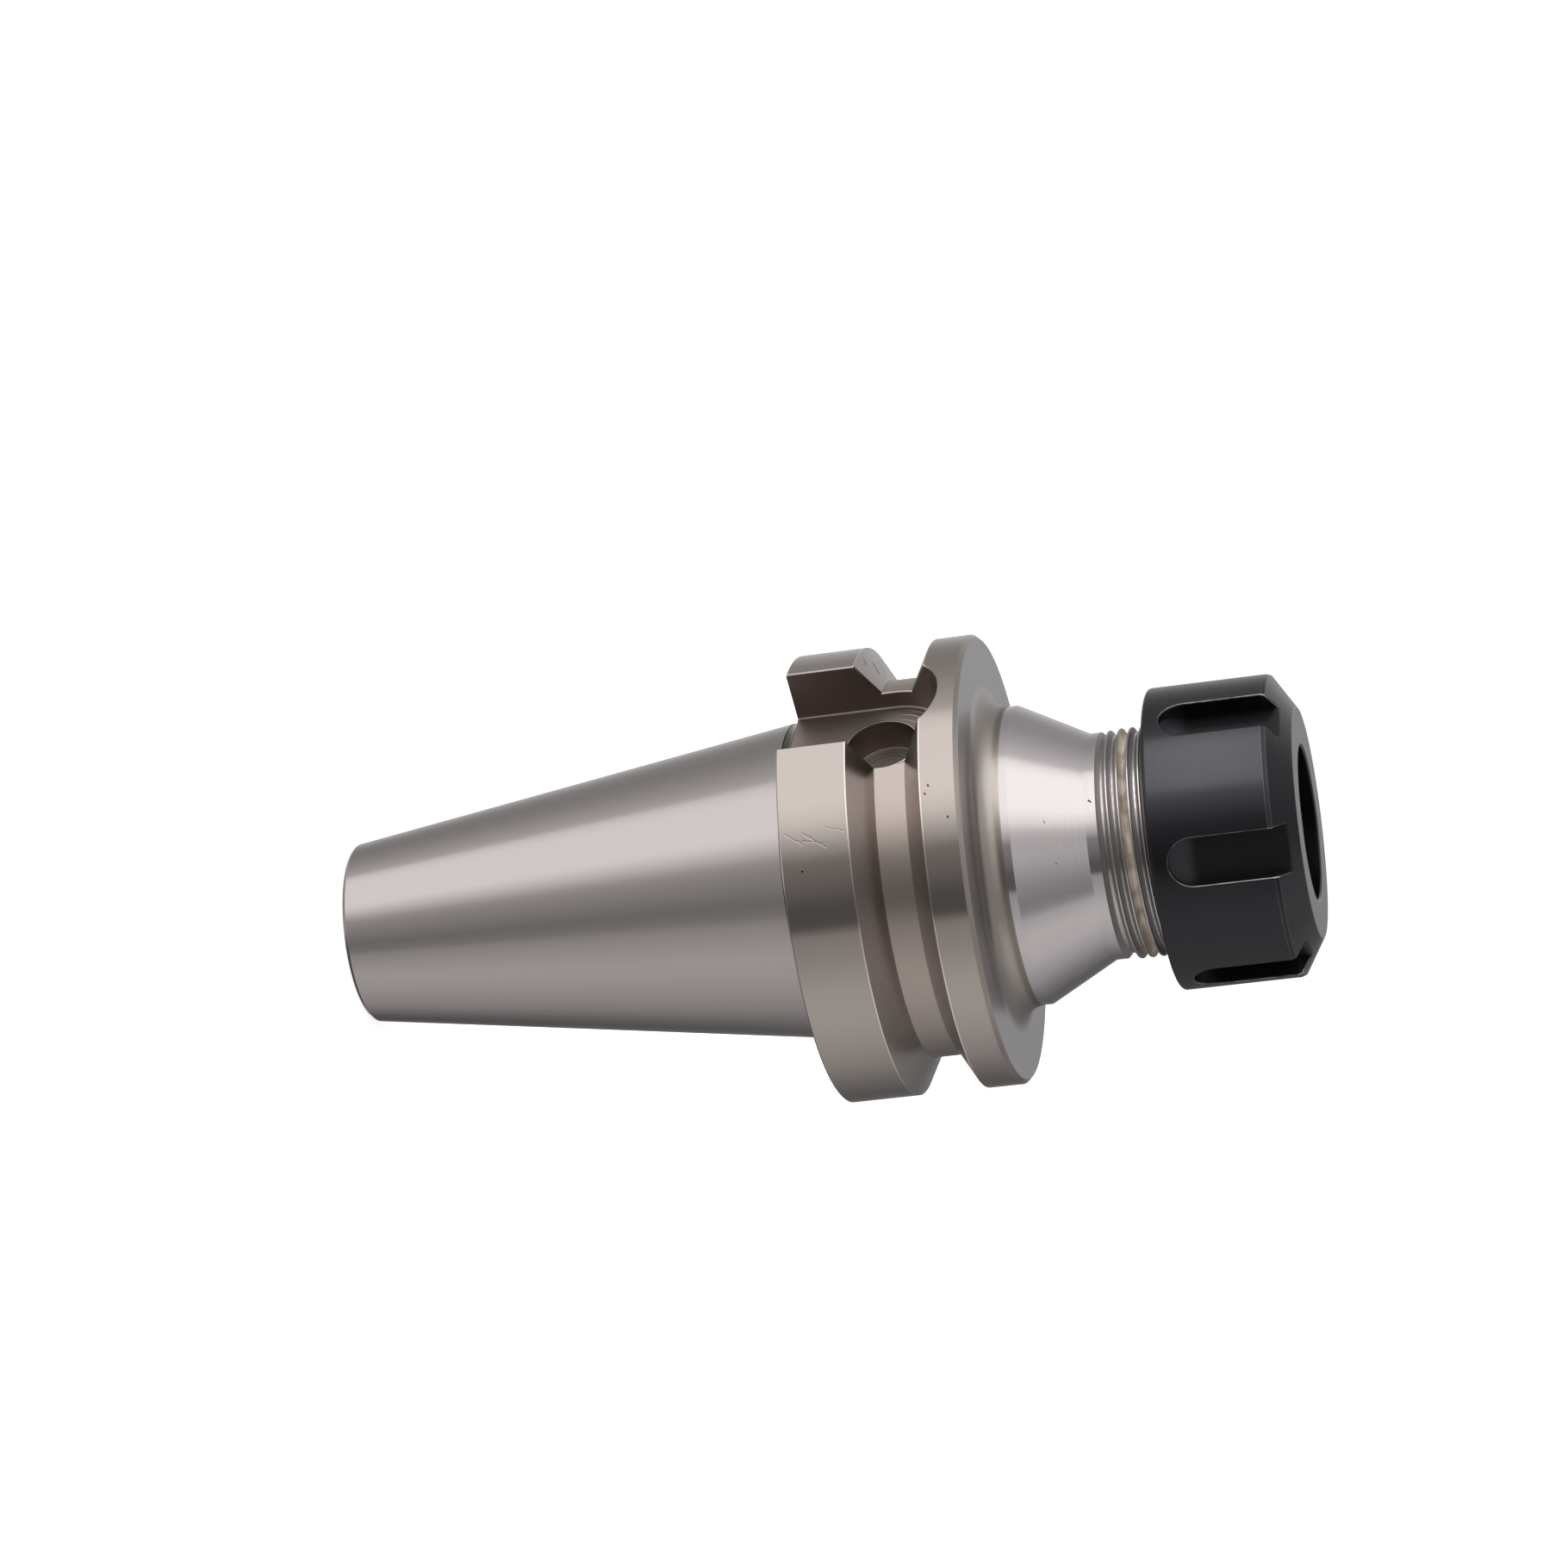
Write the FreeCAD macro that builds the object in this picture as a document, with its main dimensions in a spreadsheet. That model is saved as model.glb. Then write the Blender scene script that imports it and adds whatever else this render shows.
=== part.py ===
import FreeCAD, Part
import math
import os
import Sketcher

# Steep-taper collet holder with its clamping nut and the pressure ring inside the nut.
# Millimetres. Z is the axis of rotation and points at the nut. Z = 0 is the gauge plane,
# the plane where the 7/24 taper has its nominal diameter. The drive slots lie on X.

doc = FreeCAD.newDocument("collet_chuck_holder")
sizes = doc.addObject("Spreadsheet::Sheet", "sizes")

# Driving dimensions: name, value and what it measures.
DIMENSIONS = [
    ("gauge_dia", 44.45, "taper diameter at the gauge plane"),
    ("taper_length", 65.4, "gauge plane to the tail face"),
    ("tail_chamfer", 0.5, "break of the tail edge"),
    ("relief_depth", 0.12, "radial step from the taper down to the ground relief before the flange"),
    ("relief_land", 0.2, "straight part of the relief, behind its fillet up the flange"),
    ("flange_dia", 63.0, "outside of the flange"),
    ("flange_rear", 2.0, "gauge plane to the rear face of the flange"),
    ("rear_rim", 9.6, "width of the rim behind the gripper groove"),
    ("groove_width", 10.0, "width of the gripper groove at the rim"),
    ("front_rim", 5.4, "width of the rim in front of the gripper groove"),
    ("rear_chamfer", 0.2, "break of the flange's rear edge"),
    ("rim_chamfer", 0.6, "chamfer of the flange's front edge"),
    ("groove_depth", 5.0, "radial depth of the gripper groove"),
    ("groove_flank", 30.0, "angle of each groove flank, degrees"),
    ("slot_width", 16.1, "drive slot width"),
    ("slot_rise", 0.375, "gauge radius to the floor of a drive slot"),
    ("slot_bite", 2.4, "how far the rounded slot end reaches into the front rim"),
    ("slot_break", 0.2, "break of the drive slot edges"),
    ("chip_dia", 10.0, "data chip hole"),
    ("chip_depth", 4.6, "data chip hole below the slot floor"),
    ("chip_back", 2.1, "middle of the gripper groove back to the data chip hole"),
    ("neck_dia", 41.8, "cylinder in front of the flange"),
    ("neck_fillet", 3.5, "fillet between the flange and the neck"),
    ("neck_length", 4.6, "flange face to the start of the cone"),
    ("cone_length", 9.6, "length of the conical neck"),
    ("collar_length", 1.6, "length of the short cylinder before the thread"),
    ("collar_drop", 0.2, "thread crest down to the short cylinder"),
    ("thread_shown", 7.2, "thread in sight behind the nut"),
    ("thread_depth", 0.9, "crest to root of the 1.5 mm pitch nose thread"),
    ("nose_wall", 3.0, "mouth of the collet seat to the thread crest"),
    ("nose_chamfer", 0.8, "break of the nose edge"),
    ("nut_length", 20.0, "length of the clamping nut"),
    ("nut_thickness", 5.0, "thread crest to the outside of the nut"),
    ("nut_bevel", 3.0, "length of the front bevel of the nut"),
    ("nut_bevel_depth", 5.0, "radial depth of that bevel"),
    ("facet_length", 0.6, "length of the narrow facet behind the bevel"),
    ("facet_depth", 0.2, "radial depth of that facet"),
    ("nut_round", 0.6, "rounding of the rear edge of the nut"),
    ("nut_lead", 1.1, "lead-in chamfer at the rear of the nut"),
    ("nut_wall", 2.0, "front wall of the nut that backs the pressure ring"),
    ("nut_bore", 21.4, "opening in the front face of the nut"),
    ("nut_bore_break", 0.3, "break of the front opening"),
    ("wrench_width", 6.5, "wrench slot width"),
    ("wrench_depth", 2.8, "depth of a wrench slot"),
    ("wrench_rear", 2.5, "rear face of the nut to the rounded slot end"),
    ("wrench_round", 0.25, "rounding of the wrench slot edges"),
    ("wrench_count", 6, "number of wrench slots"),
    ("runout_length", 4.2, "length of the ramp on which the slot floor rises to its rounded end"),
    ("runout_rise", 1.9, "height of that ramp at the rounded end"),
    ("runout_root", 0.5, "how far the ramp is rooted in the nut below the floor and behind"),
    ("thread_play", 0.08, "radial play between the nut and the thread root"),
    ("ring_play", 0.1, "axial play of the ring in the nut"),
    ("ring_fit", 0.08, "radial play of the ring in the nut"),
    ("ring_lap", 0.3, "how far the ring reaches out past the nut's thread"),
    ("ring_width", 5.5, "length of the pressure ring"),
    ("ring_break", 0.4, "break of the outer ring edges"),
    ("ring_cone", 30.0, "angle of the collet cone to the axis, degrees"),
    ("ring_cone_length", 3.3, "length of that cone"),
    ("lip_height", 1.1, "how far the extraction lip stands in from the collet cone"),
    ("lip_width", 0.8, "length of the extraction lip"),
    ("lip_offset", 0.3, "eccentricity of the extraction lip"),
    ("nose_gap", 1.6, "nose face to the pressure ring"),
    ("seat_dia", 26.0, "mouth of the collet seat"),
    ("seat_angle", 8.0, "angle of the collet seat to the axis, degrees"),
    ("seat_length", 27.0, "length of the collet seat"),
    ("seat_break", 0.4, "break of the seat mouth"),
    ("seat_step", 0.4, "small end of the seat in to the shank bore"),
    ("shank_depth", 41.8, "length of the shank bore behind the seat"),
    ("drill_angle", 59.0, "half angle of the drill point, degrees"),
    ("tail_wall", 4.1875, "small end of the taper in to the pilot bore"),
    ("pilot_depth", 8.0, "depth of the pilot bore"),
    ("pilot_chamfer", 0.8, "chamfer at the mouth of the pilot bore"),
    ("pilot_step", 1.58, "pilot bore in to the root of the M16 drawbar thread"),
    ("draw_depth", 34.0, "tail face to the end of the drawbar thread"),
    ("draw_step", 0.92, "drawbar thread in to the bore that joins both ends"),
]

for row, (name, value, meaning) in enumerate(DIMENSIONS, start=1):
    sizes.set(f"A{row}", meaning)
    sizes.set(f"B{row}", str(value))
    sizes.setAlias(f"B{row}", name)
doc.recompute()

# Places that follow from the driving dimensions, as expressions of the sheet.
# Those named for a round part are radii, the others heights above the gauge plane.
TAPER_SLOPE = "7 / 48"
TAIL = "-sizes.taper_length"
TAIL_EDGE = f"sizes.gauge_dia / 2 - (sizes.taper_length - sizes.tail_chamfer) * {TAPER_SLOPE}"
FLANGE = "sizes.flange_dia / 2"
GROOVE_REAR = "(sizes.flange_rear + sizes.rear_rim)"
GROOVE_FRONT = f"({GROOVE_REAR} + sizes.groove_width)"
FLANGE_FRONT = f"({GROOVE_FRONT} + sizes.front_rim)"
GROOVE_FLOOR = "sizes.flange_dia / 2 - sizes.groove_depth"
FLANK_SLOPE = "tan(sizes.groove_flank * 1deg)"
SLOT_FLOOR = "(sizes.gauge_dia / 2 + sizes.slot_rise)"
SLOT_END = f"({GROOVE_FRONT} + sizes.slot_bite)"
CHIP_HEIGHT = f"({GROOVE_REAR} + sizes.groove_width / 2 - sizes.chip_back)"
CONE_START = f"({FLANGE_FRONT} + sizes.neck_length)"
CONE_END = f"({CONE_START} + sizes.cone_length)"
THREAD_START = f"({CONE_END} + sizes.collar_length)"
NUT_REAR = f"({THREAD_START} + sizes.thread_shown)"
NUT_FRONT = f"({NUT_REAR} + sizes.nut_length)"
RING_FRONT = f"({NUT_FRONT} - sizes.nut_wall - sizes.ring_play)"
RING_REAR = f"({RING_FRONT} - sizes.ring_width)"
NOSE = f"({RING_REAR} - sizes.nose_gap)"
SEAT = "sizes.seat_dia / 2"
SEAT_SLOPE = "tan(sizes.seat_angle * 1deg)"
SEAT_END = f"{SEAT} - sizes.seat_length * {SEAT_SLOPE}"
CREST = f"({SEAT} + sizes.nose_wall)"
COLLAR = f"({CREST} - sizes.collar_drop)"
CORE = f"({CREST} - sizes.thread_depth)"
NUT = f"({CREST} + sizes.nut_thickness)"
NUT_THREAD = f"({CORE} + sizes.thread_play)"
WRENCH_FLOOR = f"({NUT} - sizes.wrench_depth)"
WRENCH_END = f"({NUT_REAR} + sizes.wrench_rear)"
RING = f"({NUT_THREAD} + sizes.ring_lap)"
RING_POCKET = f"({RING} + sizes.ring_fit)"
CONE_FOOT = f"{SEAT} - sizes.ring_cone_length * tan(sizes.ring_cone * 1deg)"
LIP = f"({SEAT} - sizes.lip_height)"
SHANK = f"({SEAT_END} - sizes.seat_step)"
SHANK_END = f"({NOSE} - sizes.seat_length - sizes.shank_depth)"
PILOT = f"(sizes.gauge_dia / 2 - sizes.taper_length * {TAPER_SLOPE} - sizes.tail_wall)"
DRAW = f"({PILOT} - sizes.pilot_step)"
THROUGH = f"({DRAW} - sizes.draw_step)"


def body(name):
    """An empty body whose label is the name of its node."""
    made = doc.addObject("PartDesign::Body", name)
    made.Label = name
    return made


def origin_part(owner, role):
    """The plane or axis of a body's own origin that has this role."""
    return next(item for item in owner.Origin.OriginFeatures if item.Role == role)


def sketch_on(owner, name, role, offset=None):
    """A sketch on an origin plane, moved along the plane's normal by an expression."""
    made = owner.newObject("Sketcher::SketchObject", name)
    made.AttachmentSupport = [(origin_part(owner, role), "")]
    made.MapMode = "FlatFace"
    if offset:
        made.setExpression("AttachmentOffset.Base.z", offset)
    doc.recompute()
    return made


def number(expression):
    """The present value of a sheet expression."""
    value = sizes.evalExpression(expression)
    return float(getattr(value, "Value", value))


def pin(sketch, curve, end, across, along):
    """Holds one end of a sketch curve at two distances from the sketch origin."""
    for kind, expression in (("DistanceX", across), ("DistanceY", along)):
        value = number(expression)
        index = sketch.addConstraint(
            Sketcher.Constraint(kind, -1, 1, curve, end, value))
        sketch.setExpression(f"Constraints[{index}]", expression)


def outline(sketch, corners):
    """A closed outline of straight lines through corners given as expressions."""
    points = [
        FreeCAD.Vector(number(across), number(along), 0)
        for across, along in corners]
    for index, (across, along) in enumerate(corners):
        following = (index + 1) % len(corners)
        curve = sketch.addGeometry(
            Part.LineSegment(points[index], points[following]), False)
        if index:
            sketch.addConstraint(
                Sketcher.Constraint("Coincident", curve - 1, 2, curve, 1))
    sketch.addConstraint(Sketcher.Constraint("Coincident", curve, 2, 0, 1))
    for index, (across, along) in enumerate(corners):
        pin(sketch, index, 1, across, along)


def rounded_slot(sketch, half_width, open_end, closed_end, turn):
    """A slot outline, square at its open end and a half circle at its closed end.

    turn is 1 where the closed end lies above the open end, else -1.
    """
    reach = number(half_width)
    start = number(open_end)
    centre = f"{closed_end} - ({half_width}) * {turn}"
    middle = number(centre)
    left_foot = FreeCAD.Vector(-reach, start, 0)
    left_top = FreeCAD.Vector(-reach, middle, 0)
    right_top = FreeCAD.Vector(reach, middle, 0)
    right_foot = FreeCAD.Vector(reach, start, 0)
    crown = FreeCAD.Vector(0, middle + reach * turn, 0)
    sketch.addGeometry(Part.LineSegment(left_foot, left_top), False)
    sketch.addGeometry(Part.Arc(left_top, crown, right_top), False)
    sketch.addGeometry(Part.LineSegment(right_top, right_foot), False)
    sketch.addGeometry(Part.LineSegment(right_foot, left_foot), False)
    arc_left, arc_right = (2, 1) if turn > 0 else (1, 2)
    sketch.addConstraint(Sketcher.Constraint("Tangent", 0, 2, 1, arc_left))
    sketch.addConstraint(Sketcher.Constraint("Tangent", 1, arc_right, 2, 1))
    sketch.addConstraint(Sketcher.Constraint("Coincident", 2, 2, 3, 1))
    sketch.addConstraint(Sketcher.Constraint("Coincident", 3, 2, 0, 1))
    sketch.addConstraint(Sketcher.Constraint("Horizontal", 3))
    pin(sketch, 0, 1, f"-({half_width})", open_end)
    pin(sketch, 1, 3, "0", centre)


def hollow_ramp(sketch, floor, tip):
    """The section of a ramp that leaves a floor tangentially and rises towards its tip.

    Its hollow side is a quarter arc or less, whose centre stands over the foot of the ramp.
    """
    foot = f"{tip} + sizes.runout_length"
    top = f"{floor} + sizes.runout_rise"
    under = f"{floor} - sizes.runout_root"
    behind = f"{tip} - sizes.runout_root"
    run, rise = number("sizes.runout_length"), number("sizes.runout_rise")
    radius = (run * run + rise * rise) / (2 * rise)
    centre = FreeCAD.Vector(number(floor) + radius, number(foot), 0)
    reach = math.asin(run / radius)
    places = [
        FreeCAD.Vector(number(across), number(along), 0) for across, along in (
            (floor, foot), (top, tip), (top, behind), (under, behind), (under, foot))]
    halfway = centre + FreeCAD.Vector(
        -radius * math.cos(reach / 2), -radius * math.sin(reach / 2), 0)
    sketch.addGeometry(Part.Arc(places[0], halfway, places[1]), False)
    for start, end in zip(places[1:], places[2:] + places[:1]):
        sketch.addGeometry(Part.LineSegment(start, end), False)
    arc_start, arc_end = (
        (1, 2) if sketch.Geometry[0].StartPoint.distanceToPoint(places[0]) < 1e-6 else (2, 1))
    sketch.addConstraint(Sketcher.Constraint("Coincident", 0, arc_end, 1, 1))
    for curve in (1, 2, 3):
        sketch.addConstraint(Sketcher.Constraint("Coincident", curve, 2, curve + 1, 1))
    sketch.addConstraint(Sketcher.Constraint("Coincident", 4, 2, 0, arc_start))
    for curve, across, along in (
            (1, top, tip), (2, top, behind), (3, under, behind), (4, under, foot)):
        pin(sketch, curve, 1, across, along)
    pin(sketch, 0, arc_start, floor, foot)
    index = sketch.addConstraint(
        Sketcher.Constraint("DistanceY", -1, 1, 0, 3, number(foot)))
    sketch.setExpression(f"Constraints[{index}]", foot)
    doc.recompute()


def circle(sketch, across, along, diameter):
    """A circle whose centre and diameter are expressions."""
    centre = FreeCAD.Vector(number(across), number(along), 0)
    made = sketch.addGeometry(
        Part.Circle(centre, FreeCAD.Vector(0, 0, 1), number(diameter) / 2), False)
    pin(sketch, made, 3, across, along)
    index = sketch.addConstraint(
        Sketcher.Constraint("Diameter", made, number(diameter)))
    sketch.setExpression(f"Constraints[{index}]", diameter)
    doc.recompute()


def turned(owner, name, corners):
    """A full turn about Z of an outline of radius and height."""
    profile = sketch_on(owner, name + "_profile", "XZ_Plane")
    outline(profile, corners)
    doc.recompute()
    made = owner.newObject("PartDesign::Revolution", name)
    made.Profile = profile
    made.ReferenceAxis = (profile, ["V_Axis"])
    made.Angle = 360
    profile.Visibility = False
    doc.recompute()
    return made


def cut_outward(owner, name, sketch):
    """A pocket from the sketch plane away from the axis, through everything there."""
    before = owner.Shape.Volume
    made = owner.newObject("PartDesign::Pocket", name)
    made.Profile = sketch
    made.Type = "ThroughAll"
    doc.recompute()
    if not owner.Shape.Volume < before:
        raise RuntimeError(f"{name} removed nothing")
    return made


def around_axis(owner, name, feature, count):
    """Repeats a feature evenly about Z."""
    made = owner.newObject("PartDesign::PolarPattern", name)
    made.Originals = [feature]
    made.Axis = (origin_part(owner, "Z_Axis"), [""])
    made.Angle = 360
    made.setExpression("Occurrences", count)
    owner.Tip = made
    doc.recompute()
    return made


def edges_where(feature, wanted):
    """The names of the edges of a feature for which the test is true."""
    return [
        f"Edge{index}" for index, edge in enumerate(feature.Shape.Edges, start=1)
        if wanted(edge)]


def is_ring(edge, radius, height):
    """Whether an edge is a circle about Z with this radius at this height."""
    if not isinstance(edge.Curve, Part.Circle):
        return False
    centre = edge.Curve.Center
    return (abs(edge.Curve.Radius - radius) < 1e-4
            and abs(centre.z - height) < 1e-4
            and math.hypot(centre.x, centre.y) < 1e-4)


def on_slot_mouth(edge, count, half, centre, floor, toward):
    """Whether an edge is where a wall of one of several round-ended slots meets the outside.

    count slots stand evenly about Z from -X on. half is half the slot's width, centre the
    height of its round end's centre, floor the distance of its floor from the axis, and
    toward 1 where the round end is the upper one.
    """
    middle = edge.valueAt((edge.FirstParameter + edge.LastParameter) / 2)
    step = 2 * math.pi / count
    turn = -step * round(math.atan2(middle.y, middle.x) / step)
    axis = FreeCAD.Vector(0, 0, 1)
    points = [
        FreeCAD.Rotation(axis, math.degrees(turn)).multVec(point)
        for point in [vertex.Point for vertex in edge.Vertexes] + [middle]]
    if len(points) < 3 or sum(point.x for point in points) / len(points) < floor + 1e-3:
        return False
    straight = all(abs(abs(point.y) - half) < 1e-4 for point in points)
    rounded = all(
        abs(math.hypot(point.y, point.z - centre) - half) < 1e-4
        and (point.z - centre) * toward > -1e-4 for point in points)
    along_x = math.hypot(points[0].y - points[1].y, points[0].z - points[1].z) < 1e-4
    return (straight or rounded) and not along_x


# Holder body: one turned piece, from the tail over the taper, flange and neck to the nose,
# and back through the collet seat and the bores.
holder = body("holder_body")
blank = turned(holder, "holder_blank", [
    (f"{TAIL_EDGE} - sizes.tail_chamfer", TAIL),
    (TAIL_EDGE, f"{TAIL} + sizes.tail_chamfer"),
    ("sizes.gauge_dia / 2", "0"),
    ("sizes.gauge_dia / 2 - sizes.relief_depth", "sizes.relief_depth"),
    ("sizes.gauge_dia / 2 - sizes.relief_depth", "sizes.flange_rear"),
    (f"{FLANGE} - sizes.rear_chamfer", "sizes.flange_rear"),
    (FLANGE, "sizes.flange_rear + sizes.rear_chamfer"),
    (FLANGE, GROOVE_REAR),
    (GROOVE_FLOOR, f"{GROOVE_REAR} + sizes.groove_depth * {FLANK_SLOPE}"),
    (GROOVE_FLOOR, f"{GROOVE_FRONT} - sizes.groove_depth * {FLANK_SLOPE}"),
    (FLANGE, GROOVE_FRONT),
    (FLANGE, f"{FLANGE_FRONT} - sizes.rim_chamfer"),
    (f"{FLANGE} - sizes.rim_chamfer", FLANGE_FRONT),
    ("sizes.neck_dia / 2", FLANGE_FRONT),
    ("sizes.neck_dia / 2", CONE_START),
    (COLLAR, CONE_END),
    (COLLAR, THREAD_START),
    (CORE, f"{THREAD_START} + {COLLAR} - {CORE}"),
    (CORE, f"{NOSE} - sizes.nose_chamfer"),
    (f"{CORE} - sizes.nose_chamfer", NOSE),
    (f"{SEAT} + sizes.seat_break", NOSE),
    (f"{SEAT} - sizes.seat_break * {SEAT_SLOPE}", f"{NOSE} - sizes.seat_break"),
    (SEAT_END, f"{NOSE} - sizes.seat_length"),
    (SHANK, f"{NOSE} - sizes.seat_length"),
    (SHANK, SHANK_END),
    (THROUGH, f"{SHANK_END} - ({SHANK} - {THROUGH}) / tan(sizes.drill_angle * 1deg)"),
    (THROUGH, f"{TAIL} + sizes.draw_depth"),
    (DRAW, f"{TAIL} + sizes.draw_depth - sizes.draw_step"),
    (DRAW, f"{TAIL} + sizes.pilot_depth"),
    (PILOT, f"{TAIL} + sizes.pilot_depth"),
    (PILOT, f"{TAIL} + sizes.pilot_chamfer"),
    (f"{PILOT} + sizes.pilot_chamfer", TAIL),
])

# The foot of the flange's front face runs into the neck with a fillet.
neck_foot = holder.newObject("PartDesign::Fillet", "neck_fillet")
neck_foot.Base = (blank, edges_where(blank, lambda edge: is_ring(
    edge, number("sizes.neck_dia / 2"), number(FLANGE_FRONT))))
neck_foot.setExpression("Radius", "sizes.neck_fillet")
doc.recompute()

# The relief behind the taper runs up the flange's rear face with a fillet of its own.
relief_foot = holder.newObject("PartDesign::Fillet", "relief_fillet")
relief_foot.Base = (neck_foot, edges_where(neck_foot, lambda edge: is_ring(
    edge, number("sizes.gauge_dia / 2 - sizes.relief_depth"), number("sizes.flange_rear"))))
relief_foot.setExpression("Radius", "sizes.flange_rear - sizes.relief_land")
doc.recompute()

# Two drive slots, opened through the rear rim and ended by a half circle in the front rim.
slot_sketch = sketch_on(holder, "drive_slot_outline", "YZ_Plane", f"-{SLOT_FLOOR}")
rounded_slot(slot_sketch, "sizes.slot_width / 2", "sizes.flange_rear / 2", SLOT_END, 1)
drive_slot = cut_outward(holder, "drive_slot", slot_sketch)
drive_slots = around_axis(holder, "drive_slots", drive_slot, "2")
slot_mouths = holder.newObject("PartDesign::Chamfer", "drive_slot_break")
slot_mouths.Base = (drive_slots, edges_where(drive_slots, lambda edge: on_slot_mouth(
    edge, 2, number("sizes.slot_width / 2"), number(f"{SLOT_END} - sizes.slot_width / 2"),
    number(SLOT_FLOOR), 1)))
slot_mouths.setExpression("Size", "sizes.slot_break")
doc.recompute()

# The data chip sits in a flat-bottomed hole in the floor of one drive slot.
chip_sketch = sketch_on(holder, "chip_outline", "YZ_Plane", f"-{SLOT_FLOOR}")
circle(chip_sketch, "0", CHIP_HEIGHT, "sizes.chip_dia")
volume_before_chip = holder.Shape.Volume
chip_hole = holder.newObject("PartDesign::Pocket", "chip_hole")
chip_hole.Profile = chip_sketch
chip_hole.Type = "Length"
chip_hole.Reversed = True
chip_hole.setExpression("Length", "sizes.chip_depth")
doc.recompute()
if not holder.Shape.Volume < volume_before_chip:
    raise RuntimeError("the chip hole removed nothing")

# Clamping nut: a turned cup, opened to the root diameter of the thread.
nut = body("clamping_nut")
nut_blank = turned(nut, "nut_blank", [
    (f"{NUT_THREAD} + sizes.nut_lead", NUT_REAR),
    (NUT, NUT_REAR),
    (NUT, f"{NUT_FRONT} - sizes.nut_bevel - sizes.facet_length"),
    (f"{NUT} - sizes.facet_depth", f"{NUT_FRONT} - sizes.nut_bevel"),
    (f"{NUT} - sizes.nut_bevel_depth", NUT_FRONT),
    ("sizes.nut_bore / 2 + sizes.nut_bore_break", NUT_FRONT),
    ("sizes.nut_bore / 2", f"{NUT_FRONT} - sizes.nut_bore_break"),
    ("sizes.nut_bore / 2", f"{NUT_FRONT} - sizes.nut_wall"),
    (RING_POCKET, f"{NUT_FRONT} - sizes.nut_wall"),
    (RING_POCKET, f"{RING_REAR} - sizes.ring_play"),
    (NUT_THREAD, f"{RING_REAR} - sizes.ring_play"),
    (NUT_THREAD, f"{NUT_REAR} + sizes.nut_lead"),
])
nut_edge = nut.newObject("PartDesign::Fillet", "nut_rear_rounding")
nut_edge.Base = (nut_blank, edges_where(nut_blank, lambda edge: is_ring(
    edge, number(NUT), number(NUT_REAR))))
nut_edge.setExpression("Radius", "sizes.nut_round")
doc.recompute()

# Wrench slots: open through the front bevel, ended by a half circle near the rear face.
wrench_sketch = sketch_on(nut, "wrench_slot_outline", "YZ_Plane", f"-{WRENCH_FLOOR}")
rounded_slot(
    wrench_sketch, "sizes.wrench_width / 2", f"{NUT_FRONT} + sizes.nut_wall", WRENCH_END, -1)
wrench_slot = cut_outward(nut, "wrench_slot", wrench_sketch)
wrench_slots = around_axis(nut, "wrench_slots", wrench_slot, "sizes.wrench_count")
wrench_mouths = nut.newObject("PartDesign::Fillet", "wrench_slot_rounding")
wrench_mouths.Base = (wrench_slots, edges_where(wrench_slots, lambda edge: on_slot_mouth(
    edge, number("sizes.wrench_count"), number("sizes.wrench_width / 2"),
    number(f"{WRENCH_END} + sizes.wrench_width / 2"), number(WRENCH_FLOOR), -1)))
wrench_mouths.setExpression("Radius", "sizes.wrench_round")
doc.recompute()

# The cutter lifts as it leaves, so each slot's floor rises to the round end on a hollow ramp.
ramp_sketch = sketch_on(nut, "runout_outline", "XZ_Plane")
hollow_ramp(ramp_sketch, WRENCH_FLOOR, WRENCH_END)
volume_before_ramp = nut.Shape.Volume
ramp = nut.newObject("PartDesign::Pad", "runout_ramp")
ramp.Profile = ramp_sketch
ramp.Midplane = True
ramp.setExpression("Length", "sizes.wrench_width")
doc.recompute()
if not nut.Shape.Volume > volume_before_ramp:
    raise RuntimeError("the ramp added nothing")
around_axis(nut, "runout_ramps", ramp, "sizes.wrench_count")

# Pressure ring: bears on the front cone of a collet, and its lip draws the collet out.
ring = body("pressure_ring")
turned(ring, "ring_blank", [
    (LIP, RING_REAR),
    (f"{RING} - sizes.ring_break", RING_REAR),
    (RING, f"{RING_REAR} + sizes.ring_break"),
    (RING, f"{RING_FRONT} - sizes.ring_break"),
    (f"{RING} - sizes.ring_break", RING_FRONT),
    (CONE_FOOT, RING_FRONT),
    (SEAT, f"{RING_FRONT} - sizes.ring_cone_length"),
    (SEAT, f"{RING_REAR} + sizes.lip_width"),
    (LIP, f"{RING_REAR} + sizes.lip_width"),
])

# The lip is opened off centre, so that it stands proud on one side only.
lip_sketch = sketch_on(ring, "lip_outline", "XY_Plane", f"{RING_REAR} + sizes.lip_width")
circle(lip_sketch, "sizes.lip_offset", "0", f"({LIP} + sizes.lip_offset) * 2")
cut_outward(ring, "lip_opening", lip_sketch)

# Every object has to be sound before its solid is written.
doc.recompute()
for item in doc.Objects:
    if "Invalid" in item.State or "Error" in item.State:
        raise RuntimeError(f"{item.Name} is not sound: {item.State}")
os.makedirs("parts", exist_ok=True)
for node in (holder, nut, ring):
    shape = node.Shape
    if shape.isNull() or not shape.isValid() or len(shape.Solids) != 1:
        raise RuntimeError(f"{node.Label} is not one valid solid")
    shape.exportStep(f"parts/{node.Label}.step")
    box = shape.BoundBox
    print(f"{node.Label}: {shape.Volume:.1f} mm3, {box.XLength:.2f} x {box.YLength:.2f}"
          f" x {box.ZLength:.2f} mm, z {box.ZMin:.2f} to {box.ZMax:.2f}")
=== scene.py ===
# %% [markdown]
# # Collet chuck holder
# A collet chuck holder clamps a cutting tool in a milling spindle. The holder body is one
# turned and ground piece of hardened steel; the clamping nut is blackened steel. All of it
# could be modelled again here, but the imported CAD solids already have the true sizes. So this
# lesson takes the solids as they are, adds the nose thread as a surface of its own, and
# finishes every face with the look of the process that made it.

import math

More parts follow.
